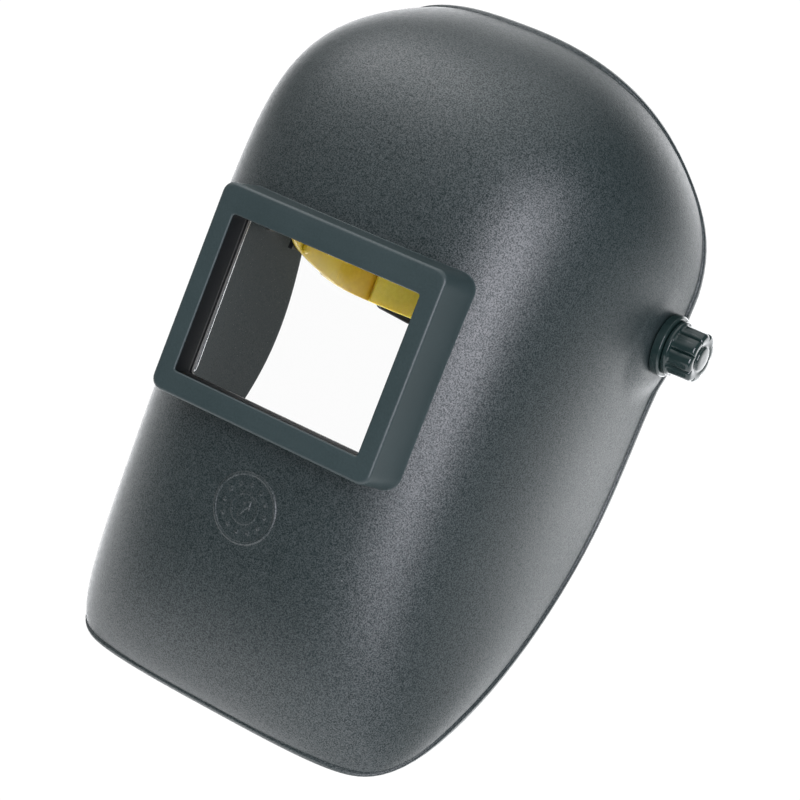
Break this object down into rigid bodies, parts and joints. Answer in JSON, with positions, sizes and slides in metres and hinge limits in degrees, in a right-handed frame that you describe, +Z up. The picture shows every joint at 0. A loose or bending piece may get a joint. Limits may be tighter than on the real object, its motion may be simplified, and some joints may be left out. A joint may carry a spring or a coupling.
{
  "type": "welding helmet",
  "caption": "Passive welding helmet: grained shell with a framed rectangular window, hinged at the temples on a ratchet-adjusted head harness.",
  "frame": {"origin": "midpoint of the line between the two temple pivots, which is where the head carries the helmet", "axes": "+X to the wearer's left along the pivot axis, +Y towards the back of the head, +Z up; the window faces -Y"},
  "size_m": [0.2656, 0.2642, 0.3598],
  "materials": {
    "shell_grained": "fine spark-eroded grain, dark slate green",
    "frame_satin": "smooth satin, dark slate green",
    "knob_gloss": "glossy black-green moulding",
    "black_plastic": "plain black moulding",
    "strap_yellow": "smooth flexible yellow-ochre strap",
    "steel": "bright plated steel",
    "brass": "turned brass",
    "rubber": "plain black rubber",
    "pad_fabric": "dark towelling over foam",
    "clear_plate": "clear polycarbonate"
  },
  "bodies": {
    "headgear": {"headband_front": "strap_yellow", "sweatband": "pad_fabric", "side_arm_left": "black_plastic", "arm_rivet_upper_left": "steel", "arm_rivet_lower_left": "steel", "pivot_bolt_left": "steel", "tilt_stop_left": "black_plastic", "crown_stud_left": "black_plastic", "side_arm_right": "black_plastic", "arm_rivet_upper_right": "steel", "arm_rivet_lower_right": "steel", "pivot_bolt_right": "steel", "tilt_stop_right": "black_plastic", "crown_stud_right": "black_plastic"},
    "helmet": {"shell": "shell_grained", "window_frame": "frame_satin", "plate_gasket": "rubber", "cover_plate": "clear_plate", "plate_retainer": "black_plastic", "knob_washer_left": "knob_gloss", "friction_washer_left": "rubber", "knob_washer_right": "knob_gloss", "friction_washer_right": "rubber"},
    "plate_bail": {"retaining_spring": "steel"},
    "knob_left": {"pivot_knob_left": "knob_gloss", "knob_insert_left": "brass"},
    "knob_right": {"pivot_knob_right": "knob_gloss", "knob_insert_right": "brass"},
    "crown": {"crown_strap_left": "strap_yellow", "crown_strap_right": "strap_yellow", "crown_peg": "black_plastic"},
    "rear_adjuster": {"rear_strap_left": "strap_yellow", "rear_strap_right": "strap_yellow", "ratchet_housing": "black_plastic", "ratchet_cover": "black_plastic", "ratchet_pawl": "steel", "cover_screw_left": "steel", "cover_screw_right": "steel", "nape_pad": "pad_fabric"},
    "ratchet_dial": {"ratchet_knob": "black_plastic", "ratchet_pinion": "black_plastic"}
  },
  "joints": [
    {"name": "shell_tilt", "type": "hinge", "parent": "headgear", "child": "helmet", "pos_m": [0, 0, 0], "axis": [-1, 0, 0], "range_deg": [0, 70]},
    {"name": "knob_left_turn", "type": "hinge", "parent": "headgear", "child": "knob_left", "pos_m": [0.124, 0, 0], "axis": [1, 0, 0], "range_deg": [0, 360]},
    {"name": "knob_right_turn", "type": "hinge", "parent": "headgear", "child": "knob_right", "pos_m": [-0.124, 0, 0], "axis": [-1, 0, 0], "range_deg": [0, 360]},
    {"name": "bail_swing", "type": "hinge", "parent": "helmet", "child": "plate_bail", "pos_m": [0, -0.1228, -0.0914], "axis": [-1, 0, 0], "range_deg": [0, 95]},
    {"name": "crown_swing", "type": "hinge", "parent": "headgear", "child": "crown", "pos_m": [0, -0.0024, -0.0164], "axis": [1, 0, 0], "range_deg": [-12, 12]},
    {"name": "nape_slide", "type": "slide", "parent": "headgear", "child": "rear_adjuster", "axis": [0, -1, 0], "range_m": [-0.01, 0.015]},
    {"name": "ratchet_turn", "type": "hinge", "parent": "rear_adjuster", "child": "ratchet_dial", "pos_m": [0, 0.1056, -0.0329], "axis": [0, -1, 0], "range_deg": [-105, 157]}
  ],
  "couplings": [
    {"joint": "ratchet_turn", "follows": "nape_slide", "rad_per_m": 181.82}
  ]
}
